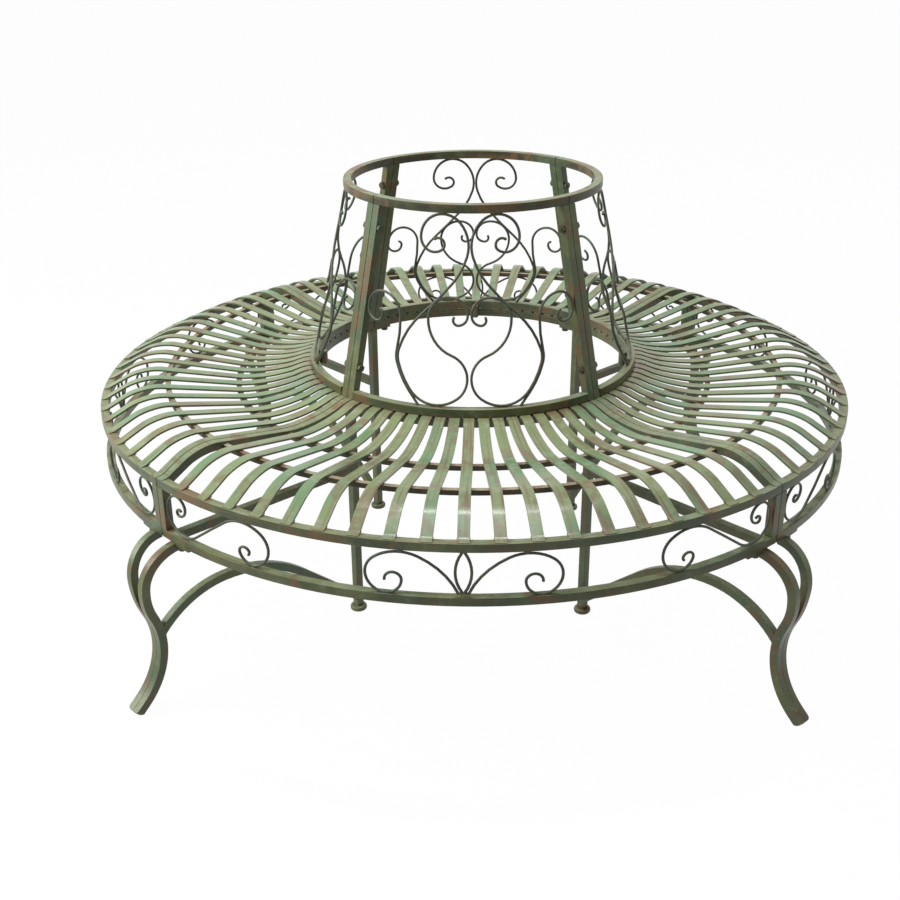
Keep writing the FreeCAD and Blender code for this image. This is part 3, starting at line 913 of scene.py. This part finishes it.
def noise(tree, vector, scale, detail=2.0, roughness=0.5, distortion=0.0):
    values = {"Vector": vector, "Scale": scale, "Detail": detail, "Roughness": roughness,
              "Distortion": distortion}
    return added(tree, "ShaderNodeTexNoise", values).outputs["Fac"]


def between(tree, value, low, high, first=0.0, last=1.0):
    """A soft step from one value to another."""
    values = {"Value": value, "From Min": low, "From Max": high, "To Min": first, "To Max": last}
    return added(tree, "ShaderNodeMapRange", values, interpolation_type="SMOOTHSTEP").outputs["Result"]


def pattern(tree, vector, name):
    """One of the paint's patterns, cut out of noise."""
    grain, step = paint_patterns[name]
    return between(tree, noise(tree, vector, *grain), *step)


def sums(tree, operation, first, second):
    return added(tree, "ShaderNodeMath", {0: first, 1: second}, operation=operation).outputs[0]


def both(tree, first, second):
    """Where two masks overlap, or a share of one."""
    return sums(tree, "MULTIPLY", first, second)


def laid_over(tree, share, under, over):
    """One colour laid over another."""
    return added(tree, "ShaderNodeMix", {0: share, 6: under, 7: over}, data_type="RGBA").outputs[2]


def make_round_the_tree_group():
    """Places as the maker walks them: round the tree, out from it, and up. The join lies in a seam."""
    tree, _, outlet = effect_group("round the tree", (), (("Place", "NodeSocketVector"),))
    spot = added(tree, "ShaderNodeTexCoord").outputs["Object"]
    turned = added(tree, "ShaderNodeVectorRotate", {"Vector": spot, "Angle": math.radians(half_turn)},
                   rotation_type="Z_AXIS").outputs[0]
    parts = added(tree, "ShaderNodeSeparateXYZ", {0: turned}).outputs
    angle = sums(tree, "ARCTAN2", parts["X"], sums(tree, "MULTIPLY", parts["Y"], -1.0))
    squares = [sums(tree, "POWER", parts[way], 2.0) for way in ("X", "Y")]
    radius = sums(tree, "SQRT", sums(tree, "ADD", *squares), 0.0)
    walked_to = added(tree, "ShaderNodeCombineXYZ", {"X": angle, "Y": radius, "Z": parts["Z"]})
    tree.links.new(walked_to.outputs[0], outlet["Place"])
    return tree


def make_edge_wear_and_highlight_group():
    """Edges and corners of bar where the paint is rubbed, with a painted highlight along them."""
    inputs = (("Vector", "NodeSocketVector", None), ("Width", "NodeSocketFloat", edge_width))
    tree, inlet, outlet = effect_group("edge wear and highlight", inputs, (("Mask", "NodeSocketFloat"),))
    rounded = added(tree, "ShaderNodeBevel", {"Radius": inlet["Width"]}, samples=corner_samples)
    facing = added(tree, "ShaderNodeNewGeometry")
    alike = added(tree, "ShaderNodeVectorMath", {0: rounded.outputs[0], 1: facing.outputs["Normal"]},
                  operation="DOT_PRODUCT")
    edge = between(tree, alike.outputs["Value"], *edge_step)
    broken = pattern(tree, inlet["Vector"], "edge breaks")
    tree.links.new(both(tree, edge, broken), outlet["Mask"])
    return tree


def make_corner_stain_group():
    """Corners and joints where weld fumes and damp have browned the paint."""
    inputs = (("Vector", "NodeSocketVector", None), ("Reach", "NodeSocketFloat", corner_reach))
    tree, inlet, outlet = effect_group("corner stain", inputs, (("Mask", "NodeSocketFloat"),))
    open_sky = added(tree, "ShaderNodeAmbientOcclusion", {"Distance": inlet["Reach"]},
                     samples=corner_samples)
    near = between(tree, open_sky.outputs["AO"], *corner_step)
    broken = pattern(tree, inlet["Vector"], "corner breaks")
    weld_mark = added(tree, "ShaderNodeAttribute", attribute_name="weld").outputs["Fac"]
    tree.links.new(sums(tree, "MAXIMUM", both(tree, near, broken), weld_mark), outlet["Mask"])
    return tree


def make_old_paint_group():
    """Garden paint in layers: a second green, chalk, dust with painted top light on upward faces, painted
    shade with grime on sideways faces, streaks, rubbed spots and chips.
    """
    colours = ("Paint", "Second", "Pale", "Stain", "Chip", "Deep")
    amounts = ("Wear", "Streaks", "Patches", "Bloom", "Grime", "Satin", "Edges", "Corners")
    inputs = [(label, "NodeSocketVector", None) for label in ("Vector", "Streak Vector")]
    inputs += [(label, "NodeSocketColor", None) for label in colours]
    inputs += [(label, "NodeSocketFloat", None) for label in amounts]
    outputs = (("Color", "NodeSocketColor"), ("Roughness", "NodeSocketFloat"),
               ("Height", "NodeSocketFloat"))
    tree, inlet, outlet = effect_group("old paint", inputs, outputs)
    spot = inlet["Vector"]
    chalk = pattern(tree, spot, "chalk")
    normal = added(tree, "ShaderNodeNewGeometry").outputs["Normal"]
    facing = added(tree, "ShaderNodeSeparateXYZ", {0: normal})
    upward = between(tree, facing.outputs["Z"], *upward_step)
    sideways = sums(tree, "SUBTRACT", 1.0, upward)
    # Upward faces turn Pale as dust with painted top light; sideways faces turn Deep as painted shade with
    # grime
    dusty_lit_tops = both(tree, upward, pattern(tree, spot, "dust and top light"))
    shaded_sides = both(tree, sideways, pattern(tree, spot, "shade and grime"))
    streaks = pattern(tree, inlet["Streak Vector"], "streaks")
    rubbed = pattern(tree, spot, "rubbed spots")
    look = laid_over(tree, pattern(tree, spot, "clouds"), inlet["Paint"], inlet["Second"])
    # Edges take Pale as rubbed paint and as a painted highlight
    for mask, amount, shade in ((chalk, chalk_cover, "Pale"), (dusty_lit_tops, inlet["Bloom"], "Pale"),
                                (shaded_sides, inlet["Grime"], "Deep"), (streaks, inlet["Streaks"], "Stain"),
                                (rubbed, inlet["Patches"], "Stain"),
                                (inlet["Corners"], corner_cover, "Stain"),
                                (inlet["Edges"], edge_wear_and_highlight_cover, "Pale")):
        look = laid_over(tree, both(tree, mask, amount), look, inlet[shade])
    level = between(tree, inlet["Wear"], *chip_level)
    flakes = noise(tree, spot, *flake_noise)
    chips = between(tree, flakes, level, sums(tree, "ADD", level, chip_softness))
    look = laid_over(tree, chips, look, inlet["Chip"])
    grain = noise(tree, spot, *grain_noise)
    look = laid_over(tree, between(tree, grain, *grain_step), look, inlet["Deep"])
    tree.links.new(look, outlet["Color"])
    dull = sums(tree, "ADD", both(tree, chips, chip_dullness), both(tree, chalk, chalk_dullness))
    satin = sums(tree, "ADD", inlet["Satin"], between(tree, grain, *grain_gloss))
    tree.links.new(sums(tree, "ADD", dull, satin), outlet["Roughness"])
    brushed = both(tree, noise(tree, spot, *brush_noise), brush_depth)
    tree.links.new(sums(tree, "SUBTRACT", brushed, both(tree, chips, chip_depth)), outlet["Height"])
    return tree


round_the_tree_group = make_round_the_tree_group()
edge_wear_and_highlight_group = make_edge_wear_and_highlight_group()
corner_stain_group = make_corner_stain_group()
old_paint_group = make_old_paint_group()


def painted(name, streak_scale, shades, upright=False, browned=(), **amounts):
    """A finish from the shared groups, with its own shades and amounts of wear and of painted light and
    shade.

    Browned gives pairs of radii: the paint turns brown from the first to the second.
    """
    paint = bpy.data.materials.new(name)
    paint.use_nodes = True
    tree = paint.node_tree
    shader = tree.nodes["Principled BSDF"]
    shader.inputs["Specular IOR Level"].default_value = paint_shine
    spot = added(tree, "ShaderNodeTexCoord").outputs["Object"]
    way = spot
    if not upright:
        way = added(tree, "ShaderNodeGroup", node_tree=round_the_tree_group).outputs["Place"]
    drawn = added(tree, "ShaderNodeMapping", {"Vector": way, "Scale": streak_scale}).outputs[0]
    edges = added(tree, "ShaderNodeGroup", node_tree=edge_wear_and_highlight_group)
    corners = added(tree, "ShaderNodeGroup", node_tree=corner_stain_group)
    layers = added(tree, "ShaderNodeGroup", node_tree=old_paint_group)
    for group in (edges, corners, layers):
        tree.links.new(spot, group.inputs["Vector"])
    tree.links.new(drawn, layers.inputs["Streak Vector"])
    tree.links.new(edges.outputs["Mask"], layers.inputs["Edges"])
    brown = corners.outputs["Mask"]
    if browned:
        out_from_tree = added(tree, "ShaderNodeSeparateXYZ", {0: way}).outputs["Y"]
        for start, full in browned:
            nearer = between(tree, out_from_tree, start, full, 0.0, browned_share)
            brown = sums(tree, "MAXIMUM", brown, nearer)
    tree.links.new(brown, layers.inputs["Corners"])
    for label, shade in shades.items():
        layers.inputs[label].default_value = colour(*shade)
    for label, amount in amounts.items():
        layers.inputs[label].default_value = amount
    relief = added(tree, "ShaderNodeBump", {"Height": layers.outputs["Height"],
                                            "Strength": relief_strength, "Distance": paint_relief})
    tree.links.new(layers.outputs["Color"], shader.inputs["Base Color"])
    tree.links.new(layers.outputs["Roughness"], shader.inputs["Roughness"])
    tree.links.new(relief.outputs[0], shader.inputs["Normal"])
    return paint


frame_shades = {
    "Paint": (116, 128, 80), "Second": (92, 118, 84), "Pale": (154, 161, 130),
    "Stain": (120, 92, 60), "Chip": (104, 58, 42), "Deep": (48, 43, 25),
}
# The crown ring gets the frame paint painted darker, with more painted side shade: painted shade on the
# highest ring, which the lamps light most
crown_shaded_shades = {**frame_shades, "Paint": (98, 106, 70)}
slat_shades = {
    "Paint": (132, 150, 98), "Second": (104, 146, 98), "Pale": (160, 166, 146),
    "Stain": (130, 104, 82), "Chip": (128, 84, 64), "Deep": (62, 62, 40),
}
scroll_shades = {
    "Paint": (74, 82, 62), "Second": (62, 84, 62), "Pale": (120, 126, 108),
    "Stain": (108, 88, 48), "Chip": (92, 58, 42), "Deep": (34, 36, 26),
}
rail_shades = {
    "Paint": (92, 82, 58), "Second": (78, 84, 58), "Pale": (190, 180, 150),
    "Stain": (120, 84, 60), "Chip": (110, 66, 50), "Deep": (40, 34, 24),
}
bolt_shades = {
    "Paint": (72, 74, 54), "Second": (66, 82, 58), "Pale": (118, 118, 98),
    "Stain": (98, 72, 44), "Chip": (96, 56, 38), "Deep": (30, 30, 22),
}
ring_streaks = (3, 160, 160)
slat_streaks = (110, 5, 5)
post_streaks = (120, 120, 5)
slat_browned = ((362 * mm, 343 * mm), (727 * mm, 739 * mm))
# Grime here is painted shade with grime on sideways faces, and Bloom is dust with painted top light on
# upward faces
frame_paint = painted("ring paint", ring_streaks, frame_shades,
                      Wear=0.55, Streaks=0.6, Patches=0.7, Bloom=0.52, Grime=0.65, Satin=0.36)
post_paint = painted("post paint", post_streaks, frame_shades, upright=True,
                     Wear=0.6, Streaks=0.5, Patches=0.8, Bloom=0.5, Grime=0.4, Satin=0.34)
crown_shaded_paint = painted("crown paint, shaded", ring_streaks, crown_shaded_shades,
                      Wear=0.6, Streaks=0.7, Patches=0.8, Bloom=0.5, Grime=0.9, Satin=0.4)
slat_paint = painted("slat paint", slat_streaks, slat_shades, browned=slat_browned,
                     Wear=0.5, Streaks=0.85, Patches=0.55, Bloom=0.2, Grime=0.6, Satin=0.24)
scroll_paint = painted("scroll paint", post_streaks, scroll_shades, upright=True,
                       Wear=0.3, Streaks=0.3, Patches=0.3, Bloom=0.4, Grime=0.4, Satin=0.36)
rail_paint = painted("rail paint", ring_streaks, rail_shades,
                     Wear=0.6, Streaks=0.5, Patches=0.5, Bloom=0.7, Grime=0.8, Satin=0.5)
bolt_paint = painted("bolt paint", post_streaks, bolt_shades, upright=True,
                     Wear=0.8, Streaks=0.5, Patches=0.5, Bloom=0.4, Grime=0.5, Satin=0.45)

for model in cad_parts.values():
    model.data.materials.clear()
    model.data.materials.append(frame_paint)


# The bench

for name, node, outer, bottom, margin, steps in (
        ("rim", "seat_rim", rim_radius, rim_top - bar, seam / 2, outer_ring_steps),
        ("apron ring", "apron_ring", rim_radius, apron_ring_bottom, seam / 2, outer_ring_steps),
        ("seat ring", "seat_ring", seat_ring_radius, seat_ring_top - bar, seam / 2, inner_ring_steps),
        ("foot ring", "back_foot_ring", seat_ring_radius, foot_ring_bottom, end_reach,
         inner_ring_steps)):
    ring = ring_quarter(name, outer, bar, bottom, margin, steps)
    round_the_tree([ring], node, frame_paint, "frame_paint")
round_the_tree([ring_quarter("crown", crown_radius, bar, crown_bottom, seam / 2, inner_ring_steps)],
               "crown_ring", crown_shaded_paint, "frame_paint")
round_the_tree(make_slats(), "slats", slat_paint, "slat_paint")
round_the_tree(make_back_scrolls(), "back_scrolls", scroll_paint, "scroll_paint")
round_the_tree(make_apron_centre(), "apron_centre_scrolls", scroll_paint, "scroll_paint")
round_the_tree(make_end_bars(), "seat_end_bars", frame_paint, "frame_paint", seams=True)
round_the_tree(make_back_posts(), "back_posts", post_paint, "frame_paint", seams=True)
round_the_tree(make_corner_scrolls(), "apron_corner_scrolls", scroll_paint, "scroll_paint", seams=True)
round_the_tree(make_outer_legs(), "outer_leg", post_paint, "frame_paint", seams=True)
in_one(make_apron_posts(), "apron_posts", post_paint, "frame_paint")
in_one(make_arch_brace(), "arch_braces", post_paint, "frame_paint")
round_the_tree(make_rails(), "seat_rails", rail_paint, "frame_paint")
in_one([make_radial_bar()], "radial_bars", frame_paint, "frame_paint")
in_one([make_inner_leg()], "inner_legs", post_paint, "frame_paint")
in_one([make_pad()], "inner_feet", frame_paint, "frame_paint")
in_one(make_plate(*outer_plate) + make_plate(*inner_plate), "frame_plates", frame_paint, "frame_paint")
in_one(make_bolts(), "bolts", bolt_paint, "bolt_paint")
in_one([make_lug()], "ring_lugs", frame_paint, "frame_paint", first=0)


# Studio

camera_spot = (0.0435, -2.4050, 1.3544)
camera_turn = (-0.0380, 0.4283, -0.0067)
film_width = 36
lens_length = 49.35
floor_size = 40
floor_grey = (0.42, 0.42, 0.42, 1)
floor_glow = 1.03
floor_white_share = 0.95
room_light = 0.21
seen_room = 1.0
lamp_aim = Vector((0, 0, 0.4))
left_soft_box = ((-3.4, -0.9, 2.2), 2.0, 2.0, 132)
overhead_soft_box = ((0.0, 0.12, 3.6), 1.5, 0.4, 62)


def make_camera():
    """The camera where the photographer stood, turned by yaw, pitch and roll."""
    yaw, pitch, roll = camera_turn
    forward = Vector((math.sin(yaw) * math.cos(pitch), math.cos(yaw) * math.cos(pitch),
                      -math.sin(pitch)))
    across = forward.cross(Vector((0, 0, 1))).normalized()
    upward = across.cross(forward)
    turned_across = across * math.cos(roll) + upward * math.sin(roll)
    turned_up = upward * math.cos(roll) - across * math.sin(roll)
    camera = bpy.data.objects.new("camera", bpy.data.cameras.new("camera"))
    bpy.context.scene.collection.objects.link(camera)
    turn = Matrix((turned_across, turned_up, -forward)).transposed().to_4x4()
    camera.matrix_world = Matrix.Translation(camera_spot) @ turn
    camera.data.sensor_width = film_width
    camera.data.lens = lens_length
    bpy.context.scene.camera = camera


def make_floor():
    """White paper that is seen white and still holds the bench's shadow."""
    nothing_selected()
    bpy.ops.mesh.primitive_plane_add(size=floor_size, location=(0, 0, 0))
    floor = settled("floor")
    paper = bpy.data.materials.new("floor paper")
    paper.use_nodes = True
    paper.cycles.emission_sampling = "NONE"
    tree = paper.node_tree
    shader = tree.nodes["Principled BSDF"]
    shader.inputs["Base Color"].default_value = floor_grey
    shader.inputs["Roughness"].default_value = 1
    shader.inputs["Specular IOR Level"].default_value = 0
    lit = added(tree, "ShaderNodeEmission", {"Strength": floor_glow}).outputs[0]
    share = both(tree, seen_white(tree), floor_white_share)
    mix = added(tree, "ShaderNodeMixShader", {0: share, 1: shader.outputs[0], 2: lit}).outputs[0]
    tree.links.new(mix, tree.nodes["Material Output"].inputs["Surface"])
    floor.data.materials.append(paper)


def seen_white(tree):
    """One where the camera, a reflection or glass looks at it."""
    rays = tree.nodes.new("ShaderNodeLightPath").outputs
    seen = sums(tree, "ADD", rays["Is Camera Ray"], rays["Is Glossy Ray"])
    return sums(tree, "MINIMUM", sums(tree, "ADD", seen, rays["Is Transmission Ray"]), 1.0)


def soft_box(name, spot, width, depth, power):
    """A lamp behind cloth, turned to the bench."""
    lamp = bpy.data.lights.new(name, "AREA")
    lamp.shape = "RECTANGLE"
    lamp.size = width
    lamp.size_y = depth
    lamp.energy = power
    light = bpy.data.objects.new(name, lamp)
    bpy.context.scene.collection.objects.link(light)
    light.location = spot
    light.rotation_mode = "QUATERNION"
    light.rotation_quaternion = (lamp_aim - Vector(spot)).to_track_quat("-Z", "Y")


def make_light():
    """A dim white room that is seen white, and two soft boxes."""
    world = bpy.data.worlds.new("studio")
    bpy.context.scene.world = world
    world.use_nodes = True
    tree = world.node_tree
    around = tree.nodes["Background"]
    around.inputs["Color"].default_value = (1, 1, 1, 1)
    values = {"Value": seen_white(tree), "To Min": room_light, "To Max": seen_room}
    strength = added(tree, "ShaderNodeMapRange", values)
    tree.links.new(strength.outputs["Result"], around.inputs["Strength"])
    soft_box("left soft box", *left_soft_box)
    soft_box("overhead soft box", *overhead_soft_box)


make_camera()
make_floor()
make_light()
bpy.context.scene.view_settings.view_transform = "Standard"
nothing_selected()
